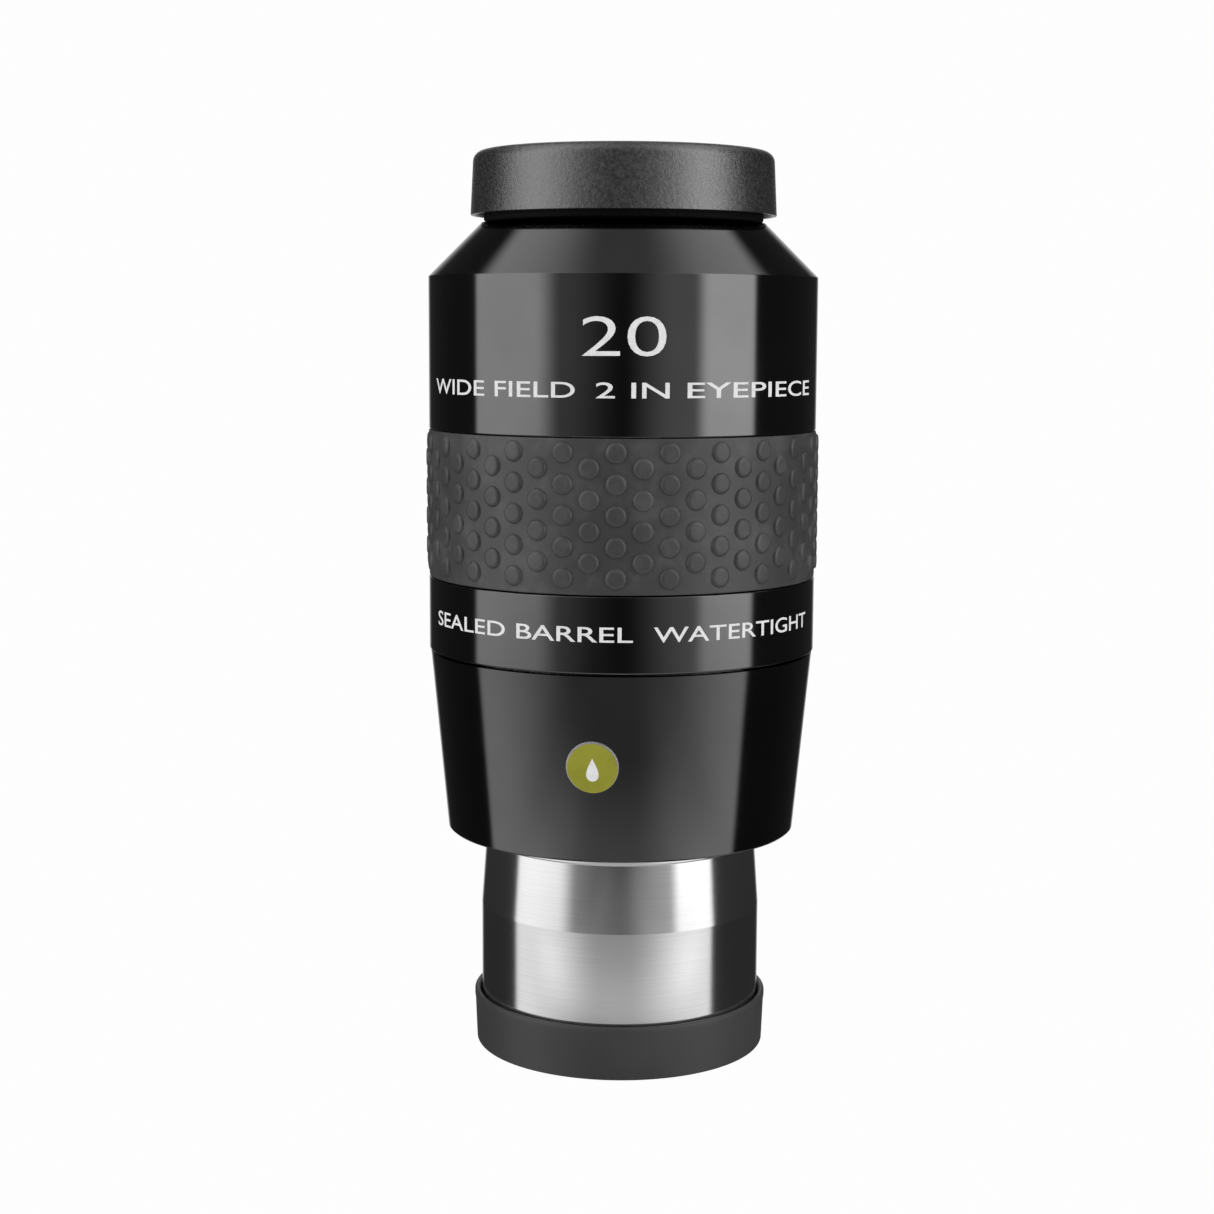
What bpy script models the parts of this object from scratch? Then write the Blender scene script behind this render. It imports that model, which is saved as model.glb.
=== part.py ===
"""A two-inch wide-field telescope eyepiece, standing on its lower dust cap.

Every piece is turned about the Z axis. The origin is the middle of the lower cap's underside, and
the eyepiece faces -Y: that side carries the badge over the purge port.
"""

import math

import bpy
from mathutils import Matrix

MM = 0.001

# Clearances
GAP = 0.3 * MM  # between two pieces that touch, along the axis or around it

# Facets of a full turn
SHELL_STEPS = 40
INNER_STEPS = 24
SEAL_STEPS = 20
ARC_STEPS = 3  # straight lengths across a lens surface, from its middle to its edge

# Lower dust cap
LOWER_CAP_HEIGHT = 9.65 * MM
LOWER_CAP_FLOOR = 1.8 * MM
LOWER_CAP_WALL = 0.65 * MM
LOWER_CAP_DRAFT = 0.4 * MM  # how much wider the lip is than the foot
LOWER_CAP_LIP = 1.2 * MM

# Nosepiece
BARREL_RADIUS = 25.4 * MM  # the standard 2 inch fit
BARREL_WALL = 3.1 * MM
FILTER_SOCKET_WALL = 1.5 * MM  # leaves the bore of an M48 x 0.75 filter thread
FILTER_SOCKET_DEPTH = 6.6 * MM
BARREL_CONE_LENGTH = 12.9 * MM
BARREL_CONE_DROP = 0.85 * MM  # how much the radius shrinks along the cone
BARREL_LAND_HEIGHT = 2.5 * MM
BARREL_LAND_DROP = 0.5 * MM
BARREL_LEDGE = 2.4 * MM
BARREL_LEDGE_REACH = 3.9 * MM
SPIGOT_LENGTH = 6.7 * MM
SPIGOT_WALL = 1.7 * MM
FACE_GROOVE_WALL = 0.8 * MM
FACE_GROOVE_DEPTH = 1.1 * MM

# Round rubber seals
SEAL_THICKNESS = 0.9 * MM
HOUSING_SEAL_THICKNESS = 1.1 * MM

# Lower lens cell and what it holds
LOWER_CELL_WALL = 1.8 * MM
LOWER_CELL_FLANGE = 1.3 * MM
LOWER_CELL_FLANGE_REACH = 2.2 * MM
LOWER_CELL_TAIL = 0.1 * MM
LOWER_SPACER_LENGTH = 7.1 * MM
LOWER_SPACER_WALL = 1.1 * MM
LOCK_RING_HEIGHT = 1.0 * MM
LOCK_RING_WALL = 2.6 * MM
RETAINER_HEIGHT = 1.5 * MM
RETAINER_WALL = 2.1 * MM

# Lower housing
TAPER_LENGTH = 32.1 * MM
TAPER_GROWTH = 3.05 * MM  # how much wider the taper's top is than its foot
SEAT_WIDTH = 6.05 * MM  # how far the flat underside stands out past the nosepiece
LOWER_WALL = 3.05 * MM
LOWER_FLANGE = 3.1 * MM
SEAT_RECESS_DEPTH = 0.4 * MM  # sunk into the underside, for the nosepiece's land
SEAT_RECESS_CLEARANCE = 0.4 * MM
BAFFLE_WALL = 1.2 * MM
STEP_HEIGHT = 0.45 * MM
STEP_DEPTH = 0.5 * MM
LOWER_SPIGOT_LENGTH = 3.3 * MM
FIELD_STOP_RADIUS = 17.35 * MM
FIELD_STOP_HEIGHT = 2.0 * MM
FIELD_STOP_EDGE = 0.4 * MM
STOP_RETAINER_WALL = 2.5 * MM

# Purge port
BADGE_HEIGHT = 16.6 * MM  # of its middle, up the taper
BADGE_TURN = math.radians(-7.9)  # from the front, towards -X
BADGE_RADIUS = 4.4 * MM
BADGE_THICKNESS = 0.9 * MM
BADGE_CHAMFER = 0.25 * MM
BADGE_PROUD = 0.3 * MM  # how far the badge's face stands over the taper
PLUG_HEAD_RADIUS = 2.6 * MM
PLUG_HEAD_HEIGHT = 0.9 * MM
PLUG_SHANK_RADIUS = 1.1 * MM
PLUG_SHANK_LENGTH = 2.5 * MM
PLUG_SLOT_WIDTH = 0.6 * MM
PLUG_SLOT_DEPTH = 0.4 * MM
PLUG_SEAL_THICKNESS = 0.7 * MM

# Collar ring, grip and upper housing
BODY_LENGTH = 26.2 * MM
BODY_WALL = 4.15 * MM
TAPER_SET_BACK = 0.15 * MM
COLLAR_PROUD = 0.1 * MM
COLLAR_LENGTH = 13.05 * MM
COLLAR_WALL = 2.05 * MM
GRIP_PROUD = 0.05 * MM
GRIP_LENGTH = 26.0 * MM
GRIP_WALL = 1.4 * MM
NECK_SHOULDER_RADIUS = 25.0 * MM
NECK_RADIUS = 22.6 * MM
NECK_WALL = 0.7 * MM
LEDGE_DEPTH = 4.65 * MM  # from the cone's top edge down to the underside of the eye lens ledge
LEDGE_HEIGHT = 1.2 * MM
LEDGE_REACH = 2.1 * MM
NECK_LIP = 0.2 * MM  # how far the neck stands over the eye lens retainer
EDGE = 0.3 * MM  # chamfer on outer edges

# Upper lens cell and what it holds
UPPER_CELL_WALL = 2.4 * MM
UPPER_CELL_CHAMFER = 0.8 * MM
UPPER_CELL_FLANGE = 3.0 * MM
UPPER_CELL_FLANGE_REACH = 5.3 * MM
UPPER_CELL_TAIL = 0.8 * MM
FRONT_SPACER_LENGTH = 7.1 * MM
FRONT_SPACER_WALL = 1.9 * MM
REAR_SPACER_LENGTH = 5.5 * MM
REAR_SPACER_WALL = 2.5 * MM
UPPER_RETAINER_HEIGHT = 2.6 * MM
UPPER_RETAINER_WALL = 3.3 * MM
UPPER_LOCK_RING_HEIGHT = 3.7 * MM
UPPER_LOCK_RING_WALL = 3.2 * MM
EYE_RETAINER_WALL = 2.2 * MM
NOTCH_WIDTH = 1.6 * MM  # spanner notches across each threaded ring
NOTCH_DEPTH = 0.5 * MM

# Lenses: the rim's thickness, and how far the middle of each face stands out of its rim. A face
# that stands out below nought is hollow. The two glasses of a doublet share one curve.
EYE_LENS_RIM = 3.5 * MM
EYE_LENS_BULGE = 4.7 * MM
SECOND_LENS_RIM = 3.5 * MM
SECOND_LENS_TOP_BULGE = 3.1 * MM
SECOND_LENS_BASE_BULGE = 4.6 * MM
MIDDLE_CROWN_RIM = 2.0 * MM
MIDDLE_CROWN_BULGE = 2.6 * MM
MIDDLE_JOIN_BULGE = 8.2 * MM
MIDDLE_FLINT_RIM = 10.7 * MM
REAR_CROWN_RIM = 2.0 * MM
REAR_CROWN_BULGE = 5.5 * MM
REAR_JOIN_BULGE = 5.6 * MM
REAR_FLINT_RIM = 11.4 * MM
REAR_FLINT_HOLLOW = 3.3 * MM
RELAY_RIM = 4.0 * MM
RELAY_HOLLOW = 2.5 * MM
RELAY_BULGE = 4.5 * MM
FIELD_CROWN_RIM = 9.5 * MM
FIELD_CROWN_HOLLOW = 3.8 * MM
FIELD_JOIN_BULGE = 3.7 * MM
FIELD_FLINT_RIM = 1.4 * MM
JOIN_LAND = 1.0 * MM  # flat edge around a doublet's inner curve

# Eyecup and upper dust cap
EYECUP_WALL = 1.9 * MM
EYECUP_LIP_REACH = 2.9 * MM
EYECUP_LIP = 1.2 * MM
EYECUP_HEIGHT = 9.85 * MM
EYECUP_ROUND = 1.1 * MM
UPPER_CAP_CLEAR = 0.95 * MM  # from the cone's top edge up to the cap's rim
UPPER_CAP_HEIGHT = 11.75 * MM
UPPER_CAP_WALL = 2.05 * MM
UPPER_CAP_ROOF = 2.05 * MM
UPPER_CAP_DRAFT = 0.45 * MM
UPPER_CAP_ROUND = 1.8 * MM
UPPER_CAP_RIM_ROUND = 0.6 * MM

# Radii that follow
BARREL_BORE = BARREL_RADIUS - BARREL_WALL
FILTER_SOCKET_RADIUS = BARREL_RADIUS - FILTER_SOCKET_WALL
LEDGE_BORE = BARREL_BORE - BARREL_LEDGE_REACH
SPIGOT_RADIUS = BARREL_BORE
SPIGOT_BORE = SPIGOT_RADIUS - SPIGOT_WALL
FLANGE_HOLE = SPIGOT_RADIUS + GAP
BARREL_LAND_RADIUS = BARREL_RADIUS - BARREL_LAND_DROP
SEAT_RECESS_RADIUS = BARREL_LAND_RADIUS + SEAT_RECESS_CLEARANCE
LOWER_CELL_RADIUS = BARREL_BORE - GAP
LOWER_CELL_BORE = LOWER_CELL_RADIUS - LOWER_CELL_WALL
LOWER_LENS_RADIUS = LOWER_CELL_BORE - GAP
LOWER_SPACER_BORE = LOWER_LENS_RADIUS - LOWER_SPACER_WALL
TAPER_FOOT_RADIUS = BARREL_RADIUS + SEAT_WIDTH
TAPER_TOP_RADIUS = TAPER_FOOT_RADIUS + TAPER_GROWTH
BODY_RADIUS = TAPER_TOP_RADIUS + TAPER_SET_BACK
LOWER_BORE = TAPER_FOOT_RADIUS - LOWER_WALL
BAFFLE_RADIUS = LOWER_BORE - GAP
COLLAR_RADIUS = BODY_RADIUS + COLLAR_PROUD
COLLAR_BORE = COLLAR_RADIUS - COLLAR_WALL
JOINT_RADIUS = COLLAR_BORE - GAP  # of both housings' spigots, inside the collar ring
O_RING_FLOOR = COLLAR_BORE - HOUSING_SEAL_THICKNESS - 2 * GAP
O_RING_GROOVE_HEIGHT = HOUSING_SEAL_THICKNESS + 2 * GAP
GRIP_RADIUS = BODY_RADIUS + GRIP_PROUD
GRIP_BORE = GRIP_RADIUS - GRIP_WALL
GRIP_SEAT = GRIP_BORE - GAP
BODY_BORE = BODY_RADIUS - BODY_WALL
NECK_BORE = NECK_RADIUS - NECK_WALL
EYE_LEDGE_BORE = NECK_BORE - LEDGE_REACH
EYE_LENS_RADIUS = NECK_BORE - 2 * GAP
UPPER_CELL_RADIUS = BODY_BORE - GAP
UPPER_CELL_BORE = UPPER_CELL_RADIUS - UPPER_CELL_WALL
UPPER_LENS_RADIUS = UPPER_CELL_BORE - GAP
FRONT_SPACER_BORE = UPPER_LENS_RADIUS - FRONT_SPACER_WALL
REAR_SPACER_BORE = UPPER_LENS_RADIUS - REAR_SPACER_WALL
UPPER_FLANGE_BORE = UPPER_CELL_BORE - UPPER_CELL_FLANGE_REACH
EYECUP_BORE = NECK_RADIUS + GAP
EYECUP_RADIUS = EYECUP_BORE + EYECUP_WALL
UPPER_CAP_BORE = EYECUP_RADIUS + GAP
UPPER_CAP_RADIUS = UPPER_CAP_BORE + UPPER_CAP_WALL
LOWER_CAP_BORE = BARREL_RADIUS + GAP
LOWER_CAP_RADIUS = LOWER_CAP_BORE + LOWER_CAP_WALL

# Heights that follow, from the ground up. The lower lens stack is added up from its own pieces,
# so the nosepiece is as long as the glass in it needs.
BARREL_FOOT = LOWER_CAP_FLOOR + GAP
LOCK_RING_FOOT = BARREL_FOOT + FILTER_SOCKET_DEPTH
LOWER_CELL_FOOT = LOCK_RING_FOOT + LOCK_RING_HEIGHT + GAP
FIELD_RETAINER_FOOT = LOWER_CELL_FOOT + LOWER_CELL_TAIL
FIELD_SEAL_HEIGHT = FIELD_RETAINER_FOOT + RETAINER_HEIGHT + GAP + SEAL_THICKNESS / 2
FIELD_FLINT_FOOT = FIELD_SEAL_HEIGHT + SEAL_THICKNESS / 2 + GAP
FIELD_CROWN_FOOT = FIELD_FLINT_FOOT + FIELD_FLINT_RIM + GAP
LOWER_SPACER_FOOT = FIELD_CROWN_FOOT + FIELD_CROWN_RIM + GAP
RELAY_FOOT = LOWER_SPACER_FOOT + LOWER_SPACER_LENGTH + GAP
LOWER_CELL_TOP = RELAY_FOOT + RELAY_RIM + GAP + LOWER_CELL_FLANGE
BARREL_LEDGE_FOOT = LOWER_CELL_TOP + GAP
BARREL_TOP = BARREL_LEDGE_FOOT + BARREL_LEDGE
TAPER_FOOT = BARREL_TOP + GAP - SEAT_RECESS_DEPTH
TAPER_TOP = TAPER_FOOT + TAPER_LENGTH
STEP_TOP = TAPER_TOP + STEP_HEIGHT
LOWER_SPIGOT_TOP = STEP_TOP + LOWER_SPIGOT_LENGTH
FIELD_STOP_FOOT = LOWER_SPIGOT_TOP - GAP - RETAINER_HEIGHT - GAP - FIELD_STOP_HEIGHT
BAFFLE_FOOT = TAPER_FOOT + LOWER_FLANGE + GAP
BAFFLE_TOP = FIELD_STOP_FOOT - GAP
O_RING_GROOVE_FOOT = STEP_TOP + (LOWER_SPIGOT_LENGTH - O_RING_GROOVE_HEIGHT) / 2
COLLAR_FOOT = STEP_TOP + GAP
COLLAR_TOP = COLLAR_FOOT + COLLAR_LENGTH
UPPER_SPIGOT_FOOT = LOWER_SPIGOT_TOP + GAP
GRIP_FOOT = COLLAR_TOP + GAP
GRIP_TOP = GRIP_FOOT + GRIP_LENGTH
BODY_FOOT = GRIP_TOP + GAP
BODY_TOP = BODY_FOOT + BODY_LENGTH
CONE_TOP = BODY_TOP + BODY_RADIUS - NECK_SHOULDER_RADIUS  # a cone of 45 degrees
EYE_LEDGE_FOOT = CONE_TOP - LEDGE_DEPTH
EYE_LEDGE_TOP = EYE_LEDGE_FOOT + LEDGE_HEIGHT
EYE_SEAL_HEIGHT = EYE_LEDGE_TOP + GAP + SEAL_THICKNESS / 2
EYE_LENS_FOOT = EYE_SEAL_HEIGHT + SEAL_THICKNESS / 2 + GAP
EYE_RETAINER_FOOT = EYE_LENS_FOOT + EYE_LENS_RIM + GAP
NECK_TOP = EYE_RETAINER_FOOT + RETAINER_HEIGHT + NECK_LIP

# The upper lens stack hangs from the cell's top flange, which seats in the housing's inner cone.
UPPER_CELL_SHOULDER = BODY_TOP - GAP * math.tan(math.radians(22.5))
UPPER_CELL_TOP = UPPER_CELL_SHOULDER + UPPER_CELL_CHAMFER
UPPER_FLANGE_FOOT = UPPER_CELL_TOP - UPPER_CELL_FLANGE
SECOND_LENS_FOOT = UPPER_FLANGE_FOOT - GAP - SECOND_LENS_RIM
FRONT_SPACER_FOOT = SECOND_LENS_FOOT - GAP - FRONT_SPACER_LENGTH
MIDDLE_CROWN_FOOT = FRONT_SPACER_FOOT - GAP - MIDDLE_CROWN_RIM
MIDDLE_FLINT_FOOT = MIDDLE_CROWN_FOOT - GAP - MIDDLE_FLINT_RIM
REAR_SPACER_FOOT = MIDDLE_FLINT_FOOT - GAP - REAR_SPACER_LENGTH
REAR_CROWN_FOOT = REAR_SPACER_FOOT - GAP - REAR_CROWN_RIM
REAR_FLINT_FOOT = REAR_CROWN_FOOT - GAP - REAR_FLINT_RIM
UPPER_RETAINER_FOOT = REAR_FLINT_FOOT - GAP - UPPER_RETAINER_HEIGHT
UPPER_CELL_FOOT = UPPER_RETAINER_FOOT - UPPER_CELL_TAIL
UPPER_LOCK_RING_FOOT = UPPER_CELL_FOOT - GAP - UPPER_LOCK_RING_HEIGHT

EYECUP_FOOT = CONE_TOP + GAP
EYECUP_TOP = EYECUP_FOOT + EYECUP_HEIGHT
UPPER_CAP_FOOT = CONE_TOP + UPPER_CAP_CLEAR
UPPER_CAP_TOP = UPPER_CAP_FOOT + UPPER_CAP_HEIGHT


def clear_scene():
    for obj in list(bpy.data.objects):
        bpy.data.objects.remove(obj)


def collection(name):
    made = bpy.data.collections.new(name)
    bpy.context.scene.collection.children.link(made)
    return made


def material(name, colour, roughness, metallic=0.0, transmission=0.0):
    made = bpy.data.materials.new(name)
    made.use_nodes = True
    shader = made.node_tree.nodes["Principled BSDF"].inputs
    shader["Base Color"].default_value = (*colour, 1.0)
    shader["Roughness"].default_value = roughness
    shader["Metallic"].default_value = metallic
    shader["Transmission Weight"].default_value = transmission
    return made


def arc(radius, height, bulge, upward):
    """A face's curve from the axis out to radius, as (radius, height) points. Its edge is at
    height, and its middle stands out from there by bulge, up or down."""
    side = 1 if upward else -1
    if bulge == 0:
        return [(0.0, height), (radius, height)]
    curve = (radius**2 + bulge**2) / (2 * abs(bulge))
    points = []
    for i in range(ARC_STEPS + 1):
        r = radius * i / ARC_STEPS
        fall = curve - math.sqrt(curve**2 - r**2)
        out = bulge - math.copysign(fall, bulge)
        points.append((r, height + side * out))
    return points


def turned(name, profile, finish, steps=SHELL_STEPS, group=None):
    """A piece turned about Z. The profile runs down the outer side. It starts and ends on the
    axis, or else closes on itself and makes a ring."""
    mesh = bpy.data.meshes.new(name)
    count = len(profile)
    edges = [(i, i + 1) for i in range(count - 1)]
    if profile[0][0] > 0:
        edges.append((count - 1, 0))
    mesh.from_pydata([(r, 0.0, z) for r, z in profile], edges, [])
    obj = bpy.data.objects.new(name, mesh)
    (group or PIECES).objects.link(obj)
    screw = obj.modifiers.new("Turn", "SCREW")
    screw.axis = "Z"
    screw.angle = math.tau
    screw.steps = steps
    screw.render_steps = steps
    screw.use_merge_vertices = True
    screw.merge_threshold = 0.01 * MM
    screw.use_smooth_shade = True
    if finish:
        mesh.materials.append(finish)
    return obj


def tube(outer, inner, foot, top):
    return [(outer, top), (outer, foot), (inner, foot), (inner, top)]


def chamfered_tube(outer, inner, foot, top, edge):
    return [
        (outer - edge, top),
        (outer, top - edge),
        (outer, foot + edge),
        (outer - edge, foot),
        (inner, foot),
        (inner, top),
    ]


def lens(name, radius, foot, rim, top_face, base_face, steps=INNER_STEPS):
    """A lens with a straight rim. Each face is (aperture, bulge), with a flat land around it."""
    upper = arc(top_face[0], foot + rim, top_face[1], True)
    lower = arc(base_face[0], foot, base_face[1], False)
    profile = upper + [(radius, foot + rim), (radius, foot)] + lower[::-1]
    return turned(name, profile, GLASS, steps)


def cut(obj, cutter):
    cutter.hide_render = True
    cutter.display_type = "WIRE"
    boolean = obj.modifiers.new(cutter.name, "BOOLEAN")
    boolean.operation = "DIFFERENCE"
    boolean.solver = "EXACT"
    boolean.object = cutter


def block(name, size, centre):
    bpy.ops.mesh.primitive_cube_add(size=1)
    obj = bpy.context.object
    obj.name = name
    obj.data.transform(Matrix.Diagonal((*size, 1)))
    obj.location = centre
    for group in obj.users_collection:
        group.objects.unlink(obj)
    CUTTERS.objects.link(obj)
    return obj


def threaded_ring(name, outer, wall, foot, height, finish, notches_up):
    """A retaining ring with two spanner notches in one face, cut by one bar across it."""
    ring = turned(name, tube(outer, outer - wall, foot, foot + height), finish, INNER_STEPS)
    face = foot + height if notches_up else foot
    size = (2.4 * outer, NOTCH_WIDTH, 2 * NOTCH_DEPTH)
    cut(ring, block(name + "_notches", size, (0, 0, face)))
    return ring


def seal(name, radius, thickness, height, steps=SEAL_STEPS, sides=5):
    bpy.ops.mesh.primitive_torus_add(
        major_radius=radius,
        minor_radius=thickness / 2,
        major_segments=steps,
        minor_segments=sides,
        location=(0, 0, height),
    )
    obj = bpy.context.object
    obj.name = name
    for group in obj.users_collection:
        group.objects.unlink(obj)
    PIECES.objects.link(obj)
    obj.data.materials.append(SEAL_RUBBER)
    return obj


def make_lower_cap():
    lip_radius = LOWER_CAP_RADIUS + LOWER_CAP_DRAFT
    profile = [
        (lip_radius - 0.4 * LOWER_CAP_WALL, LOWER_CAP_HEIGHT),
        (lip_radius, LOWER_CAP_HEIGHT - LOWER_CAP_LIP / 2),
        (lip_radius, LOWER_CAP_HEIGHT - LOWER_CAP_LIP),
        (LOWER_CAP_RADIUS, EDGE),
        (LOWER_CAP_RADIUS - EDGE, 0.0),
        (0.0, 0.0),
    ]
    inside = [(0.0, LOWER_CAP_FLOOR), (LOWER_CAP_BORE, LOWER_CAP_FLOOR), (LOWER_CAP_BORE, LOWER_CAP_HEIGHT)]
    return turned("bottom_cap", inside + profile, CAP_PLASTIC)


def make_nosepiece():
    land_foot = BARREL_TOP - BARREL_LAND_HEIGHT
    cone_top = BARREL_RADIUS - BARREL_CONE_DROP
    groove_outer = BARREL_LAND_RADIUS - FACE_GROOVE_WALL
    thickness = FACE_GROOVE_DEPTH - GAP
    groove_inner = groove_outer - thickness - 2 * GAP
    profile = [
        (SPIGOT_RADIUS, BARREL_TOP + SPIGOT_LENGTH),
        (SPIGOT_RADIUS, BARREL_TOP),
        (groove_inner, BARREL_TOP),
        (groove_inner, BARREL_TOP - FACE_GROOVE_DEPTH),
        (groove_outer, BARREL_TOP - FACE_GROOVE_DEPTH),
        (groove_outer, BARREL_TOP),
        (BARREL_LAND_RADIUS, BARREL_TOP),
        (BARREL_LAND_RADIUS, land_foot),
        (cone_top, land_foot),
        (BARREL_RADIUS, land_foot - BARREL_CONE_LENGTH),
        (BARREL_RADIUS, BARREL_FOOT + EDGE),
        (BARREL_RADIUS - EDGE, BARREL_FOOT),
        (FILTER_SOCKET_RADIUS, BARREL_FOOT),
        (FILTER_SOCKET_RADIUS, LOCK_RING_FOOT),
        (BARREL_BORE, LOCK_RING_FOOT),
        (BARREL_BORE, BARREL_LEDGE_FOOT),
        (LEDGE_BORE, BARREL_LEDGE_FOOT),
        (LEDGE_BORE, BARREL_TOP),
        (SPIGOT_BORE, BARREL_TOP),
        (SPIGOT_BORE, BARREL_TOP + SPIGOT_LENGTH),
    ]
    turned("nosepiece", profile, STEEL)
    middle = (groove_inner + groove_outer) / 2
    seal("nosepiece_seal", middle, thickness, BARREL_TOP - FACE_GROOVE_DEPTH / 2, SHELL_STEPS)


def make_lower_lens_group():
    lock_radius = BARREL_BORE - GAP
    threaded_ring("lower_cell_lock_ring", lock_radius, LOCK_RING_WALL, LOCK_RING_FOOT,
                  LOCK_RING_HEIGHT, BLACKENED, False)
    flange_bore = LOWER_CELL_BORE - LOWER_CELL_FLANGE_REACH
    profile = [
        (LOWER_CELL_RADIUS, LOWER_CELL_TOP),
        (LOWER_CELL_RADIUS, LOWER_CELL_FOOT),
        (LOWER_CELL_BORE, LOWER_CELL_FOOT),
        (LOWER_CELL_BORE, LOWER_CELL_TOP - LOWER_CELL_FLANGE),
        (flange_bore, LOWER_CELL_TOP - LOWER_CELL_FLANGE),
        (flange_bore, LOWER_CELL_TOP),
    ]
    turned("lower_lens_cell", profile, BLACKENED, INNER_STEPS)
    threaded_ring("field_lens_retainer", LOWER_LENS_RADIUS, RETAINER_WALL, FIELD_RETAINER_FOOT,
                  RETAINER_HEIGHT, BLACKENED, False)
    seal("field_lens_seal", LOWER_LENS_RADIUS - SEAL_THICKNESS, SEAL_THICKNESS, FIELD_SEAL_HEIGHT)
    join = LOWER_LENS_RADIUS - JOIN_LAND
    open_radius = LOWER_SPACER_BORE - GAP
    lens("field_lens_flint", LOWER_LENS_RADIUS, FIELD_FLINT_FOOT, FIELD_FLINT_RIM,
         (join, FIELD_JOIN_BULGE), (join, 0))
    lens("field_lens_crown", LOWER_LENS_RADIUS, FIELD_CROWN_FOOT, FIELD_CROWN_RIM,
         (open_radius, -FIELD_CROWN_HOLLOW), (join, -FIELD_JOIN_BULGE))
    turned("lower_lens_spacer", tube(LOWER_LENS_RADIUS, LOWER_SPACER_BORE, LOWER_SPACER_FOOT,
           LOWER_SPACER_FOOT + LOWER_SPACER_LENGTH), BLACKENED, INNER_STEPS)
    lens("relay_lens", LOWER_LENS_RADIUS, RELAY_FOOT, RELAY_RIM,
         (flange_bore - GAP, -RELAY_HOLLOW), (open_radius, RELAY_BULGE))


def make_lower_housing():
    profile = [
        (JOINT_RADIUS, LOWER_SPIGOT_TOP),
        (JOINT_RADIUS, O_RING_GROOVE_FOOT + O_RING_GROOVE_HEIGHT),
        (O_RING_FLOOR, O_RING_GROOVE_FOOT + O_RING_GROOVE_HEIGHT),
        (O_RING_FLOOR, O_RING_GROOVE_FOOT),
        (JOINT_RADIUS, O_RING_GROOVE_FOOT),
        (JOINT_RADIUS, STEP_TOP),
        (TAPER_TOP_RADIUS - STEP_DEPTH, STEP_TOP),
        (TAPER_TOP_RADIUS - STEP_DEPTH, TAPER_TOP),
        (TAPER_TOP_RADIUS, TAPER_TOP),
        (TAPER_FOOT_RADIUS, TAPER_FOOT + EDGE),
        (TAPER_FOOT_RADIUS - EDGE, TAPER_FOOT),
        (SEAT_RECESS_RADIUS, TAPER_FOOT),
        (SEAT_RECESS_RADIUS, TAPER_FOOT + SEAT_RECESS_DEPTH),
        (FLANGE_HOLE, TAPER_FOOT + SEAT_RECESS_DEPTH),
        (FLANGE_HOLE, TAPER_FOOT + LOWER_FLANGE),
        (LOWER_BORE, TAPER_FOOT + LOWER_FLANGE),
        (LOWER_BORE, LOWER_SPIGOT_TOP),
    ]
    housing = turned("lower_housing", profile, ANODISED)
    cut(housing, make_purge_port())
    seal("lower_housing_seal", (COLLAR_BORE + O_RING_FLOOR) / 2, HOUSING_SEAL_THICKNESS,
         O_RING_GROOVE_FOOT + O_RING_GROOVE_HEIGHT / 2, SHELL_STEPS)
    turned("baffle_tube", tube(BAFFLE_RADIUS, BAFFLE_RADIUS - BAFFLE_WALL, BAFFLE_FOOT, BAFFLE_TOP),
           BLACKENED, INNER_STEPS)
    stop_top = FIELD_STOP_FOOT + FIELD_STOP_HEIGHT
    stop_rim = FIELD_STOP_RADIUS + FIELD_STOP_HEIGHT
    knife_edge = [
        (BAFFLE_RADIUS, stop_top),
        (BAFFLE_RADIUS, FIELD_STOP_FOOT),
        (stop_rim, FIELD_STOP_FOOT),
        (FIELD_STOP_RADIUS, stop_top - FIELD_STOP_EDGE),
        (FIELD_STOP_RADIUS, stop_top),
    ]
    turned("field_stop", knife_edge, BLACKENED, INNER_STEPS)
    threaded_ring("field_stop_retainer", BAFFLE_RADIUS, STOP_RETAINER_WALL, stop_top + GAP,
                  RETAINER_HEIGHT, BLACKENED, True)


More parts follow.
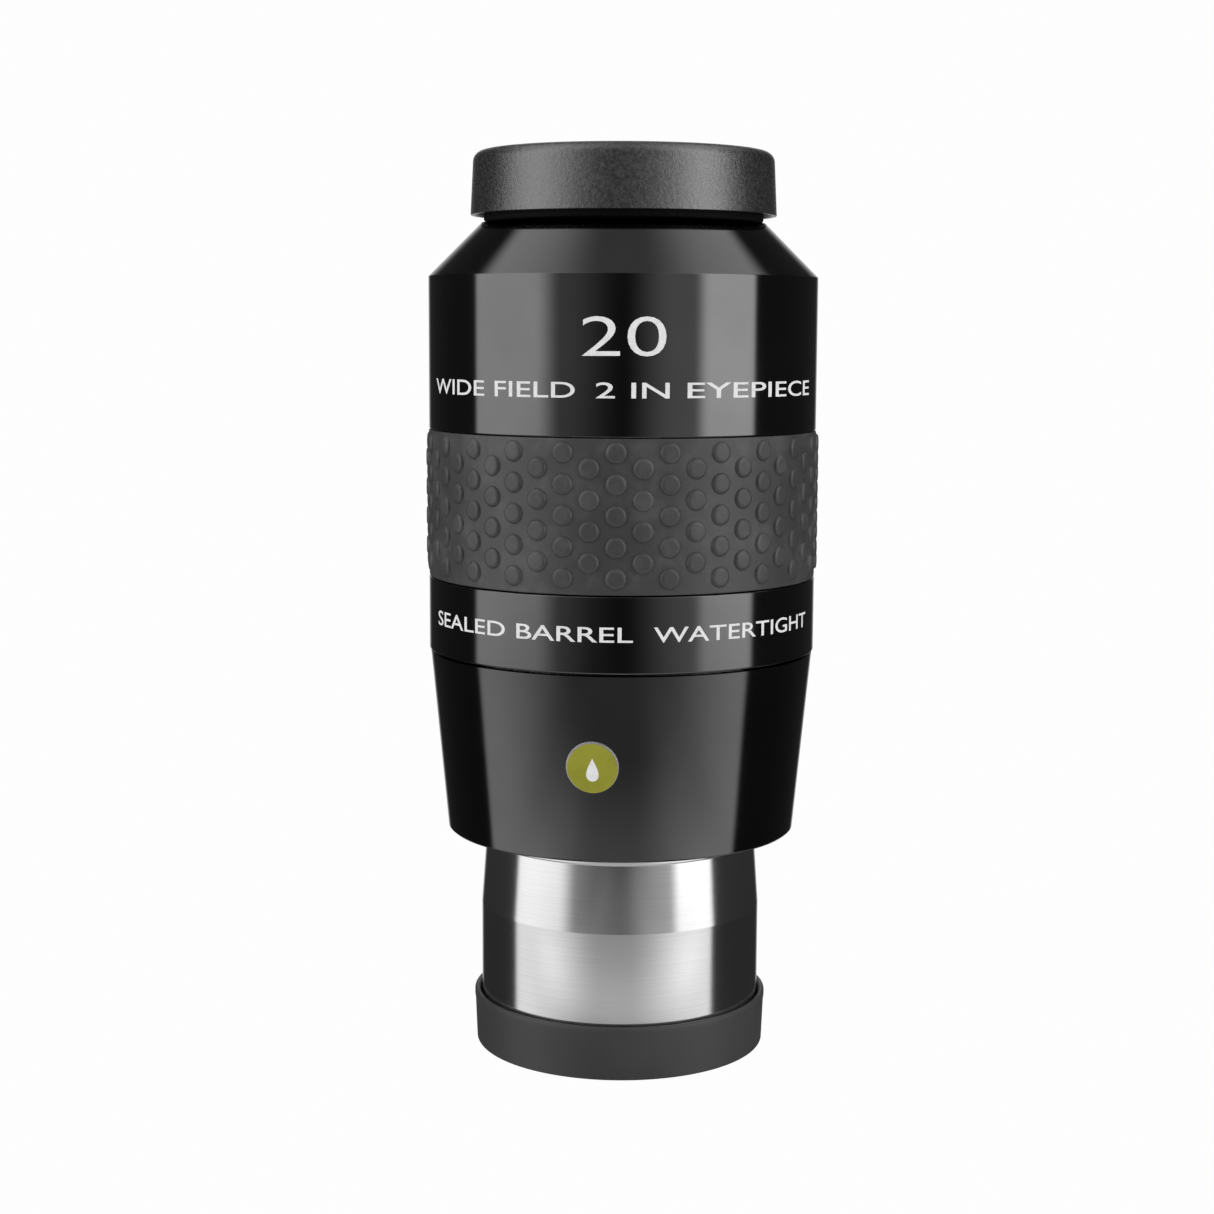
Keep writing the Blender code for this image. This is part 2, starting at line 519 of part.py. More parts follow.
def make_purge_port():
    """The gas purge screw, its seal and the badge over them, square to the taper. Returns the
    stepped hole that they lie in, as a cutter."""
    lean = math.atan2(TAPER_TOP_RADIUS - TAPER_FOOT_RADIUS, TAPER_LENGTH)
    radius = TAPER_FOOT_RADIUS + BADGE_HEIGHT * math.tan(lean)
    port = bpy.data.objects.new("purge_port", None)
    PIECES.objects.link(port)
    around = Matrix.Rotation(BADGE_TURN, 4, "Z")
    outward = Matrix.Rotation(math.radians(90) + lean, 4, "X")
    place = Matrix.Translation((0, -radius, TAPER_FOOT + BADGE_HEIGHT))
    port.matrix_world = around @ place @ outward
    badge_foot = BADGE_PROUD - BADGE_THICKNESS
    spot_face = badge_foot - GAP
    head_foot = spot_face - PLUG_HEAD_HEIGHT
    recess = head_foot - GAP - PLUG_SEAL_THICKNESS - GAP
    wide = BADGE_RADIUS + GAP
    head_hole = PLUG_HEAD_RADIUS + GAP
    shank_hole = PLUG_SHANK_RADIUS + GAP
    clear_out = 2 * wide
    hole = turned("purge_hole", [
        (0.0, clear_out),
        (wide, clear_out),
        (wide, spot_face),
        (head_hole, spot_face),
        (head_hole, recess),
        (shank_hole, recess),
        (shank_hole, -clear_out),
        (0.0, -clear_out),
    ], None, INNER_STEPS, CUTTERS)
    plug = turned("purge_plug", [
        (0.0, spot_face),
        (PLUG_HEAD_RADIUS, spot_face),
        (PLUG_HEAD_RADIUS, head_foot),
        (PLUG_SHANK_RADIUS, head_foot),
        (PLUG_SHANK_RADIUS, head_foot - PLUG_SHANK_LENGTH),
        (0.0, head_foot - PLUG_SHANK_LENGTH),
    ], STEEL, SEAL_STEPS)
    slot_size = (3 * PLUG_HEAD_RADIUS, PLUG_SLOT_WIDTH, 2 * PLUG_SLOT_DEPTH)
    slot = block("purge_plug_slot", slot_size, (0, 0, spot_face))
    cut(plug, slot)
    ring = seal("purge_seal", PLUG_SHANK_RADIUS + GAP + PLUG_SEAL_THICKNESS / 2,
                PLUG_SEAL_THICKNESS, head_foot - GAP - PLUG_SEAL_THICKNESS / 2, 16)
    badge = turned("purge_badge", [
        (0.0, BADGE_PROUD),
        (BADGE_RADIUS - BADGE_CHAMFER, BADGE_PROUD),
        (BADGE_RADIUS, BADGE_PROUD - BADGE_CHAMFER),
        (BADGE_RADIUS, badge_foot),
        (0.0, badge_foot),
    ], BADGE_GREEN, INNER_STEPS)
    for piece in (hole, plug, slot, ring, badge):
        piece.parent = port
    return hole


def make_collar_ring():
    turned("collar_ring", chamfered_tube(COLLAR_RADIUS, COLLAR_BORE, COLLAR_FOOT, COLLAR_TOP, EDGE),
           ANODISED)


def make_grip():
    turned("grip_sleeve", chamfered_tube(GRIP_RADIUS, GRIP_BORE, GRIP_FOOT, GRIP_TOP, EDGE), GRIP_RUBBER)


def make_upper_housing():
    inner_cone = BODY_BORE - (EYE_LEDGE_FOOT - BODY_TOP)
    profile = [
        (NECK_RADIUS, NECK_TOP),
        (NECK_RADIUS, CONE_TOP),
        (NECK_SHOULDER_RADIUS, CONE_TOP),
        (BODY_RADIUS, BODY_TOP),
        (BODY_RADIUS, BODY_FOOT + EDGE),
        (BODY_RADIUS - EDGE, BODY_FOOT),
        (GRIP_SEAT, BODY_FOOT),
        (GRIP_SEAT, GRIP_FOOT),
        (JOINT_RADIUS, GRIP_FOOT),
        (JOINT_RADIUS, UPPER_SPIGOT_FOOT),
        (BODY_BORE, UPPER_SPIGOT_FOOT),
        (BODY_BORE, BODY_TOP),
        (inner_cone, EYE_LEDGE_FOOT),
        (EYE_LEDGE_BORE, EYE_LEDGE_FOOT),
        (EYE_LEDGE_BORE, EYE_LEDGE_TOP),
        (NECK_BORE, EYE_LEDGE_TOP),
        (NECK_BORE, NECK_TOP),
    ]
    turned("upper_housing", profile, ANODISED)


def make_upper_lens_group():
    profile = [
        (UPPER_CELL_RADIUS - UPPER_CELL_CHAMFER, UPPER_CELL_TOP),
        (UPPER_CELL_RADIUS, UPPER_CELL_SHOULDER),
        (UPPER_CELL_RADIUS, UPPER_CELL_FOOT),
        (UPPER_CELL_BORE, UPPER_CELL_FOOT),
        (UPPER_CELL_BORE, UPPER_FLANGE_FOOT),
        (UPPER_FLANGE_BORE, UPPER_FLANGE_FOOT),
        (UPPER_FLANGE_BORE, UPPER_CELL_TOP),
    ]
    turned("upper_lens_cell", profile, BLACKENED, INNER_STEPS)
    threaded_ring("upper_cell_lock_ring", UPPER_CELL_RADIUS, UPPER_LOCK_RING_WALL,
                  UPPER_LOCK_RING_FOOT, UPPER_LOCK_RING_HEIGHT, BLACKENED, False)
    threaded_ring("upper_cell_retainer", UPPER_LENS_RADIUS, UPPER_RETAINER_WALL,
                  UPPER_RETAINER_FOOT, UPPER_RETAINER_HEIGHT, BLACKENED, False)
    join = UPPER_LENS_RADIUS - JOIN_LAND
    front = FRONT_SPACER_BORE - GAP
    rear = REAR_SPACER_BORE - GAP
    base = UPPER_LENS_RADIUS - UPPER_RETAINER_WALL - GAP
    lens("rear_doublet_flint", UPPER_LENS_RADIUS, REAR_FLINT_FOOT, REAR_FLINT_RIM,
         (join, -REAR_JOIN_BULGE), (base, -REAR_FLINT_HOLLOW))
    lens("rear_doublet_crown", UPPER_LENS_RADIUS, REAR_CROWN_FOOT, REAR_CROWN_RIM,
         (rear, REAR_CROWN_BULGE), (join, REAR_JOIN_BULGE))
    turned("rear_lens_spacer", tube(UPPER_LENS_RADIUS, REAR_SPACER_BORE, REAR_SPACER_FOOT,
           REAR_SPACER_FOOT + REAR_SPACER_LENGTH), BLACKENED, INNER_STEPS)
    lens("middle_doublet_flint", UPPER_LENS_RADIUS, MIDDLE_FLINT_FOOT, MIDDLE_FLINT_RIM,
         (join, -MIDDLE_JOIN_BULGE), (rear, 0))
    lens("middle_doublet_crown", UPPER_LENS_RADIUS, MIDDLE_CROWN_FOOT, MIDDLE_CROWN_RIM,
         (front, MIDDLE_CROWN_BULGE), (join, MIDDLE_JOIN_BULGE))
    turned("front_lens_spacer", tube(UPPER_LENS_RADIUS, FRONT_SPACER_BORE, FRONT_SPACER_FOOT,
           FRONT_SPACER_FOOT + FRONT_SPACER_LENGTH), BLACKENED, INNER_STEPS)
    lens("second_lens", UPPER_LENS_RADIUS, SECOND_LENS_FOOT, SECOND_LENS_RIM,
         (UPPER_FLANGE_BORE - GAP, SECOND_LENS_TOP_BULGE), (front, SECOND_LENS_BASE_BULGE))


def make_eye_lens():
    seal("eye_lens_seal", EYE_LENS_RADIUS - SEAL_THICKNESS / 2, SEAL_THICKNESS, EYE_SEAL_HEIGHT)
    flat = EYE_LENS_RADIUS - RETAINER_WALL
    lens("eye_lens", EYE_LENS_RADIUS, EYE_LENS_FOOT, EYE_LENS_RIM,
         (flat, 0), (EYE_LEDGE_BORE - GAP, EYE_LENS_BULGE))
    threaded_ring("eye_lens_retainer", NECK_BORE - GAP, EYE_RETAINER_WALL, EYE_RETAINER_FOOT,
                  RETAINER_HEIGHT, BLACKENED, True)


def make_eyecup():
    lip_foot = NECK_TOP + GAP
    lip_bore = EYECUP_BORE - EYECUP_LIP_REACH
    crest = EYECUP_RADIUS - EYECUP_ROUND
    profile = [
        (crest, EYECUP_TOP),
        (EYECUP_RADIUS, EYECUP_TOP - EYECUP_ROUND),
        (EYECUP_RADIUS, EYECUP_FOOT),
        (EYECUP_BORE, EYECUP_FOOT),
        (EYECUP_BORE, lip_foot),
        (lip_bore, lip_foot),
        (lip_bore, lip_foot + EYECUP_LIP),
        (EYECUP_BORE, lip_foot + EYECUP_LIP + EYECUP_LIP_REACH),
    ]
    turned("eyecup", profile, CAP_RUBBER)


def make_upper_cap():
    top_radius = UPPER_CAP_RADIUS - UPPER_CAP_DRAFT
    roof = UPPER_CAP_TOP - UPPER_CAP_ROOF
    rounded = [
        (top_radius - UPPER_CAP_ROUND * (1 - math.sin(turn)),
         UPPER_CAP_TOP - UPPER_CAP_ROUND * (1 - math.cos(turn)))
        for turn in (math.radians(30 * i) for i in range(4))
    ]
    profile = [(0.0, UPPER_CAP_TOP)] + rounded + [
        (UPPER_CAP_RADIUS, UPPER_CAP_FOOT + UPPER_CAP_RIM_ROUND),
        (UPPER_CAP_RADIUS - UPPER_CAP_RIM_ROUND, UPPER_CAP_FOOT),
        (UPPER_CAP_BORE, UPPER_CAP_FOOT),
        (UPPER_CAP_BORE, roof),
        (0.0, roof),
    ]
    turned("top_cap", profile, CAP_RUBBER)


clear_scene()
PIECES = collection("telescope_eyepiece")
CUTTERS = collection("cutters")

ANODISED = material("black_anodised", (0.012, 0.012, 0.013), 0.22, 0.6)
STEEL = material("polished_steel", (0.74, 0.73, 0.71), 0.16, 1.0)
GRIP_RUBBER = material("grip_rubber", (0.045, 0.045, 0.047), 0.6)
CAP_RUBBER = material("cap_rubber", (0.02, 0.02, 0.021), 0.5)
CAP_PLASTIC = material("cap_plastic", (0.03, 0.03, 0.031), 0.45)
SEAL_RUBBER = material("seal_rubber", (0.015, 0.015, 0.015), 0.55)
BLACKENED = material("blackened_metal", (0.008, 0.008, 0.008), 0.7, 0.4)
BADGE_GREEN = material("badge_green", (0.26, 0.25, 0.03), 0.4)
GLASS = material("lens_glass", (0.9, 0.95, 0.92), 0.02, 0.0, 1.0)

make_lower_cap()
make_nosepiece()
make_lower_lens_group()
make_lower_housing()
make_collar_ring()
make_grip()
make_upper_housing()
make_upper_lens_group()
make_eye_lens()
make_eyecup()
make_upper_cap()

for piece in PIECES.objects:
    if piece.type == "MESH":
        piece.data.shade_smooth()
        piece.data.set_sharp_from_angle(angle=math.radians(30))
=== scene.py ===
"""The looks of a wide-field telescope eyepiece with a 2 inch nosepiece and its two dust caps."""

import math

import bpy
from mathutils import Matrix, Vector


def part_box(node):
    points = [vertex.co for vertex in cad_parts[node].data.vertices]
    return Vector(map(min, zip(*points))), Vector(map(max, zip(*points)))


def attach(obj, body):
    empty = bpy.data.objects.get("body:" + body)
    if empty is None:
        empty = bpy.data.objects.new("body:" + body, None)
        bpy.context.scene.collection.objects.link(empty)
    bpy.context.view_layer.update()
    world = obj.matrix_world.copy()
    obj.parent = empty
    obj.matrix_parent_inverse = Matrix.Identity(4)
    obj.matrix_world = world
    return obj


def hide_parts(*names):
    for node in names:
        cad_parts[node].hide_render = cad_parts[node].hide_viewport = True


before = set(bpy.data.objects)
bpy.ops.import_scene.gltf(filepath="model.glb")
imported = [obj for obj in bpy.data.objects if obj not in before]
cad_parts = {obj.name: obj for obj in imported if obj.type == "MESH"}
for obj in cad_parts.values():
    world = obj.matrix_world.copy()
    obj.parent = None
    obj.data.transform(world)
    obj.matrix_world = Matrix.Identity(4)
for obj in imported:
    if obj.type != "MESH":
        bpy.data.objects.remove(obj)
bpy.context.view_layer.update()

MM = 0.001
OUTER_SIDES = 256
INNER_SIDES = 128
TAPER_LENGTH = 32.1 * MM
TAPER_GROWTH = 3.05 * MM
TAPER_LEAN = math.atan2(TAPER_GROWTH, TAPER_LENGTH)
BADGE_TURN = math.radians(-8.6)
BADGE_HEIGHT = 16.9 * MM  # of its middle, up the taper
BADGE_FACE = 0.45 * MM  # how far its face stands over the taper
BADGE_RADIUS = 4.5 * MM
# The badge's paint sits low on its rim. The bare rim is real metal, but its showing only at the
# top is a painted highlight for the light falling there from above.
PRINT_SHIFT = (0.03 * MM, -0.16 * MM)  # of the badge's paint, from the middle of its rim
WORD_HEIGHT = 2.6 * MM
BACKDROP = 0.985


# Modelling by hand


def start_afresh():
    bpy.ops.object.select_all(action="DESELECT")


def pick(piece):
    start_afresh()
    piece.select_set(True)
    bpy.context.view_layer.objects.active = piece


def new_piece(name):
    piece = bpy.context.object
    piece.name = name
    return piece


def into_edit_mode(mode="VERT"):
    bpy.ops.object.mode_set(mode="EDIT")
    bpy.ops.mesh.select_mode(type=mode)
    bpy.ops.mesh.select_all(action="SELECT")


def out_of_edit_mode():
    bpy.ops.object.mode_set(mode="OBJECT")


def settled(piece):
    """Puts the piece's place into its mesh, so that the object itself sits at the origin."""
    pick(piece)
    bpy.ops.object.transform_apply(location=True, rotation=True, scale=True)
    return piece


def applied(piece, modifier):
    bpy.context.view_layer.objects.active = piece
    bpy.ops.object.modifier_apply(modifier=modifier.name)
    return piece


def turned(name, outline, sides=OUTER_SIDES, ring=True):
    """A turned piece: a circle, drawn out and scaled to each further (radius, height) of its
    outline. A ring closes on its first circle, and any other piece is capped at both ends."""
    radius, height = outline[0]
    start_afresh()
    bpy.ops.mesh.primitive_circle_add(vertices=sides, radius=radius, location=(0, 0, height))
    piece = new_piece(name)
    into_edit_mode()
    for next_radius, next_height in outline[1:] + outline[:1] * ring:
        rise = (0, 0, next_height - height)
        bpy.ops.mesh.extrude_region_move(TRANSFORM_OT_translate={"value": rise})
        widen = next_radius / radius
        bpy.ops.transform.resize(value=(widen, widen, 1))
        radius, height = next_radius, next_height
    bpy.ops.mesh.select_all(action="SELECT")
    bpy.ops.mesh.remove_doubles(threshold=0.001 * MM)
    bpy.ops.mesh.fill_holes(sides=0)
    bpy.ops.mesh.select_all(action="SELECT")
    bpy.ops.mesh.normals_make_consistent(inside=False)
    out_of_edit_mode()
    return settled(piece)


def eased(piece, width, rounds=2, sharper_than=28):
    """Rounds the piece's sharp edges."""
    bevel = piece.modifiers.new("Eased edges", "BEVEL")
    bevel.width = width
    bevel.segments = rounds
    bevel.limit_method = "ANGLE"
    bevel.angle_limit = math.radians(sharper_than)
    return applied(piece, bevel)


def cut(piece, cutter):
    """Cuts the cutter's shape out of the piece, and clears the cutter away."""
    boolean = piece.modifiers.new("Cut", "BOOLEAN")
    boolean.operation = "DIFFERENCE"
    boolean.solver = "EXACT"
    boolean.object = cutter
    applied(piece, boolean)
    bpy.data.objects.remove(cutter)
    return piece


def block(size, middle):
    """A plain block, to cut with."""
    start_afresh()
    bpy.ops.mesh.primitive_cube_add(size=1, location=middle, scale=size)
    return settled(new_piece("block"))


def rod(radius, length, place, sides=96):
    """A plain rod standing on the place, to cut with."""
    start_afresh()
    bpy.ops.mesh.primitive_cylinder_add(
        vertices=sides, radius=radius, depth=length, location=(0, 0, length / 2)
    )
    piece = settled(new_piece("rod"))
    piece.data.transform(place)
    return piece


def rounded_end(radius, height, curve, start, stop, steps=6):
    """Points along an arc about (radius, height), from one angle in degrees to another."""
    angles = [math.radians(start + (stop - start) * i / steps) for i in range(steps + 1)]
    return [(radius + curve * math.cos(a), height + curve * math.sin(a)) for a in angles]


def thread(crest, root, foot, top, pitch):
    """A threaded wall from foot to top, as a row of grooves."""
    turns = int((top - foot) / pitch)
    points = []
    for i in range(turns):
        points.append((crest, foot + i * pitch))
        points.append((root, foot + (i + 0.5) * pitch))
    return points + [(crest, foot + turns * pitch)]


def fitted(piece, finish, body, *nodes, smooth=32):
    """Gives the piece its finish and its body, and lets it stand for its CAD nodes."""
    pick(piece)
    bpy.ops.object.shade_smooth_by_angle(angle=math.radians(smooth))
    weighted = piece.modifiers.new("Flat faces stay flat", "WEIGHTED_NORMAL")
    weighted.keep_sharp = True
    applied(piece, weighted)
    piece.data.materials.clear()
    piece.data.materials.append(finish.material)
    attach(piece, body)
    if nodes:
        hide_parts(*nodes)
    return piece


# Finishes


class Value:
    """A number that changes over a surface. Sums on it add Math nodes."""

    def __init__(self, nodes, socket):
        self.nodes = nodes
        self.socket = socket

    def maths(self, operation, *values):
        return self.nodes.add("ShaderNodeMath", {"operation": operation}, dict(enumerate(values)))

    def __add__(self, other):
        return self.maths("ADD", self, other)

    def __radd__(self, other):
        return self.maths("ADD", other, self)

    def __sub__(self, other):
        return self.maths("SUBTRACT", self, other)

    def __rsub__(self, other):
        return self.maths("SUBTRACT", other, self)

    def __mul__(self, other):
        return self.maths("MULTIPLY", self, other)

    def __rmul__(self, other):
        return self.maths("MULTIPLY", other, self)

    def __neg__(self):
        return self.maths("MULTIPLY", self, -1.0)

    def between(self, none, full):
        """Rises softly from 0 where the number is none to 1 where it is full."""
        settings = {"interpolation_type": "SMOOTHSTEP"}
        values = {"Value": self, "From Min": none, "From Max": full}
        return self.nodes.add("ShaderNodeMapRange", settings, values)


class Nodes:
    """The nodes of a material or of the studio's backdrop."""

    def __init__(self, tree):
        self.tree = tree

    def add(self, kind, settings=None, values=None, output=0):
        """Adds a node: its settings first, then the numbers or links of its sockets."""
        made = self.tree.nodes.new(kind)
        for setting, choice in (settings or {}).items():
            setattr(made, setting, choice)
        for socket, value in (values or {}).items():
            if isinstance(value, Value):
                self.tree.links.new(value.socket, made.inputs[socket])
            else:
                made.inputs[socket].default_value = value
        return Value(self, made.outputs[output]) if made.outputs else made

    def parts_of(self, vector):
        return [self.add("ShaderNodeSeparateXYZ", {}, {0: vector}, i) for i in range(3)]

    def noise(self, per_metre, detail=3.0, roughness=0.5, stretch=(1.0, 1.0, 1.0)):
        place = self.add("ShaderNodeTexCoord", output="Object")
        place = self.add("ShaderNodeMapping", {}, {"Vector": place, "Scale": stretch})
        values = {"Vector": place, "Scale": per_metre, "Detail": detail, "Roughness": roughness}
        return self.add("ShaderNodeTexNoise", {}, values)


class Finish(Nodes):
    """A material. Its fixed numbers and colours go straight onto the shader."""

    def __init__(self, name, slot, **fixed):
        self.slot = slot
        self.material = bpy.data.materials.new(name)
        self.material.use_nodes = True
        super().__init__(self.material.node_tree)
        self.shader = self.tree.nodes["Principled BSDF"]
        for socket, value in fixed.items():
            self.shader.inputs[socket.replace("_", " ")].default_value = value

    def vary(self, socket, value):
        self.tree.links.new(value.socket, self.shader.inputs[socket])

    def colour_between(self, one, other, amount):
        values = {0: amount, 6: (*one, 1.0), 7: (*other, 1.0)}
        self.vary("Base Color", self.add("ShaderNodeMix", {"data_type": "RGBA"}, values, 2))

    def bump(self, height, depth, strength=1.0):
        values = {"Height": height, "Distance": depth, "Strength": strength}
        self.vary("Normal", self.add("ShaderNodeBump", {}, values))


def grey(level):
    return (level, level, level)


def anodised_black():
    """Gloss black anodising: faint turning lines, and a haze of handling on the gloss."""
    finish = Finish("black_anodised", "black_anodised", Metallic=1.0)
    lines = finish.noise(60, 3.0, 0.6, (1.0, 1.0, 90.0))
    haze = finish.noise(45, 4.0, 0.6)
    finish.colour_between(grey(0.118), grey(0.132), haze.between(0.3, 0.7))
    finish.vary("Roughness", 0.055 + 0.05 * haze + 0.02 * lines)
    finish.bump(lines, 0.004 * MM, 0.5)
    return finish


def turned_steel():
    """Polished steel, turned on a lathe: fine rings of tool marks and a slightly uneven polish."""
    finish = Finish("polished_steel", "polished_steel", Metallic=1.0)
    rings = finish.noise(40, 4.0, 0.7, (1.0, 1.0, 220.0))
    polish = finish.noise(70, 3.0, 0.5)
    finish.colour_between(grey(0.70), grey(0.78), rings.between(0.25, 0.75))
    finish.vary("Roughness", 0.08 + 0.05 * rings + 0.05 * polish)
    finish.bump(rings, 0.004 * MM, 0.4)
    return finish


def grip_rubber():
    """Dark grey moulded rubber: a dull fine grain with paler scuffs where fingers rub."""
    finish = Finish("grip_rubber", "grip_rubber", Specular_IOR_Level=0.7)
    grain = finish.noise(2600, 3.0, 0.6)
    scuffs = finish.noise(150, 5.0, 0.65)
    finish.colour_between(grey(0.068), grey(0.12), scuffs.between(0.42, 0.75))
    finish.vary("Roughness", 0.40 + 0.14 * grain)
    finish.bump(grain, 0.03 * MM, 0.6)
    return finish


def cap_rubber():
    """Soft black rubber with the mottled, slightly sparkling skin of a moulded cap."""
    finish = Finish("cap_rubber", "cap_rubber", IOR=1.8, Specular_IOR_Level=0.9)
    mottle = finish.noise(1500, 5.0, 0.75)
    clouds = finish.noise(110, 3.0, 0.5)
    finish.colour_between(grey(0.016), grey(0.07), mottle.between(0.38, 0.66))
    finish.vary("Roughness", 0.13 + 0.20 * mottle + 0.06 * clouds)
    finish.bump(mottle, 0.11 * MM, 0.7)
    return finish


def cap_plastic():
    """Dull dark grey soft plastic with a fine even grain."""
    finish = Finish("cap_plastic", "cap_plastic")
    grain = finish.noise(3200, 2.0, 0.5)
    clouds = finish.noise(60, 3.0, 0.5)
    finish.colour_between(grey(0.062), grey(0.076), clouds.between(0.35, 0.7))
    finish.vary("Roughness", 0.44 + 0.1 * grain)
    finish.bump(grain, 0.012 * MM, 0.5)
    return finish


def satin_metal():
    """Pale blasted metal, as on the edge of the badge."""
    finish = Finish("satin_metal", "polished_steel", Metallic=1.0)
    grain = finish.noise(2500, 2.0, 0.5)
    finish.colour_between(grey(0.52), grey(0.62), grain.between(0.3, 0.7))
    finish.vary("Roughness", 0.45 + 0.1 * grain)
    return finish


def eyecup_rubber_painted_shade():
    """Soft rubber darkened to near dead black: painted shade, standing in for the shadow that
    fills the gap under the top cap.
    """
    finish = Finish("eyecup_rubber_painted_shade", "cap_rubber", Specular_IOR_Level=0.15)
    grain = finish.noise(1500, 4.0, 0.7)
    # Painted shade: the near-black colour stands in for the shadow in the gap under the top cap.
    finish.colour_between(grey(0.005), grey(0.012), grain.between(0.3, 0.7))
    finish.vary("Roughness", 0.6 + 0.15 * grain)
    finish.bump(grain, 0.03 * MM, 0.5)
    return finish


def seal_rubber():
    """Smooth black rubber of the O-rings."""
    finish = Finish("seal_rubber", "seal_rubber")
    grain = finish.noise(1800, 2.0, 0.5)
    finish.colour_between(grey(0.015), grey(0.024), grain.between(0.3, 0.7))
    finish.vary("Roughness", 0.4 + 0.15 * grain)
    finish.bump(grain, 0.01 * MM, 0.5)
    return finish


def blackened_metal():
    """Matt blackened metal: a dusty oxide with fine turning lines."""
    finish = Finish("blackened_metal", "blackened_metal", Metallic=0.3)
    lines = finish.noise(50, 3.0, 0.6, (1.0, 1.0, 120.0))
    dust = finish.noise(300, 4.0, 0.6)
    finish.colour_between(grey(0.009), grey(0.022), dust.between(0.4, 0.75))
    finish.vary("Roughness", 0.5 + 0.2 * lines)
    finish.bump(lines, 0.01 * MM, 0.5)
    return finish


def badge_paint():
    """Olive paint with a light orange-peel surface."""
    finish = Finish("badge_green", "badge_green")
    peel = finish.noise(900, 3.0, 0.5)
    tone = finish.noise(250, 4.0, 0.6)
    finish.colour_between((0.45, 0.45, 0.034), (0.54, 0.53, 0.052), tone.between(0.3, 0.7))
    finish.vary("Roughness", 0.42 + 0.12 * peel)
    finish.bump(peel, 0.01 * MM, 0.4)
    return finish


def white_marking():
    """Bright white paint in the markings, worn thin in places, with a painted glow: it gives off
    light of its own, which no paint does.
    """
    # The emission is a painted glow that keeps the markings bright under any light.
    finish = Finish("white_marking", None, Emission_Color=(1, 1, 1, 1), Emission_Strength=0.26)
    worn = finish.noise(900, 4.0, 0.6).between(0.3, 0.62)
    finish.colour_between(grey(0.78), grey(0.95), worn)
    finish.vary("Roughness", 0.5 + 0.1 * worn)
    return finish


def coated_glass():
    """Clear glass with the green-violet sheen of an anti-reflection coating."""
    finish = Finish(
        "lens_glass",
        "lens_glass",
        Base_Color=(0.96, 0.985, 0.97, 1.0),
        IOR=1.52,
        Transmission_Weight=1.0,
        Specular_Tint=(0.45, 0.85, 0.6, 1.0),
        Thin_Film_Thickness=420.0,
        Thin_Film_IOR=1.38,
    )
    dust = finish.noise(500, 5.0, 0.7)
    finish.vary("Roughness", 0.03 * dust.between(0.55, 0.85))
    return finish


BLACK = anodised_black()
STEEL = turned_steel()
GRIP = grip_rubber()
CAP_RUBBER = cap_rubber()
CAP_PLASTIC = cap_plastic()
SATIN = satin_metal()
EYECUP_PAINTED_SHADE = eyecup_rubber_painted_shade()
SEAL = seal_rubber()
BLACKENED = blackened_metal()
OLIVE = badge_paint()
WHITE = white_marking()
GLASS = coated_glass()


# Dust caps


def make_bottom_cap():
    low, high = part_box("bottom_cap")
    bore = 25.7 * MM
    floor = low.z + 1.8 * MM
    lip, top = high.x, high.z
    foot = lip - 0.4 * MM
    crest = (lip - bore) / 2
    hollow = [(0.5 * MM, floor), (bore - MM, floor), (bore, floor + MM), (bore, top - 1.2 * MM)]
    rolled = rounded_end(lip - crest, top - crest, crest, 180, 0, 10)
    outside = [
        (lip, top - 1.3 * MM),
        (lip - 0.1 * MM, top - 1.8 * MM),
        *rounded_end(foot - 0.4 * MM, low.z + 0.4 * MM, 0.4 * MM, 0, -90),
        (24.2 * MM, low.z),
        (23.9 * MM, low.z + 0.25 * MM),
        (0.5 * MM, low.z + 0.25 * MM),
    ]
    cap = turned("bottom_dust_cap", hollow + rolled + outside, ring=False)
    fitted(cap, CAP_PLASTIC, "lower_dust_cap", "bottom_cap", smooth=40)


def make_top_cap():
    low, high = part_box("top_cap")
    foot = low.z + 0.6 * MM  # a little over its seat, which opens the dark gap under it
    radius, top = high.x, high.z
    bore = 25.1 * MM
    roof = top - 2.05 * MM
    edge = 1.9 * MM
    rim = 0.12 * MM
    hollow = [
        (0.5 * MM, roof),
        (bore - 1.2 * MM, roof),
        (bore, roof - 1.2 * MM),
        (bore, foot + 1.8 * MM),
        (bore + 1.3 * MM, foot),
    ]
    corner = rounded_end(radius - rim, foot + rim, rim, -90, 0, 4)
    crown = rounded_end(radius - 0.45 * MM - edge, top - edge, edge, 0, 90, 10)
    dished = [(22.5 * MM, top), (21.5 * MM, top - 0.3 * MM), (0.5 * MM, top - 0.3 * MM)]
    cap = turned("top_dust_cap", hollow + corner + crown + dished, ring=False)
    fitted(cap, CAP_RUBBER, "upper_dust_cap", "top_cap", smooth=40)


# Nosepiece


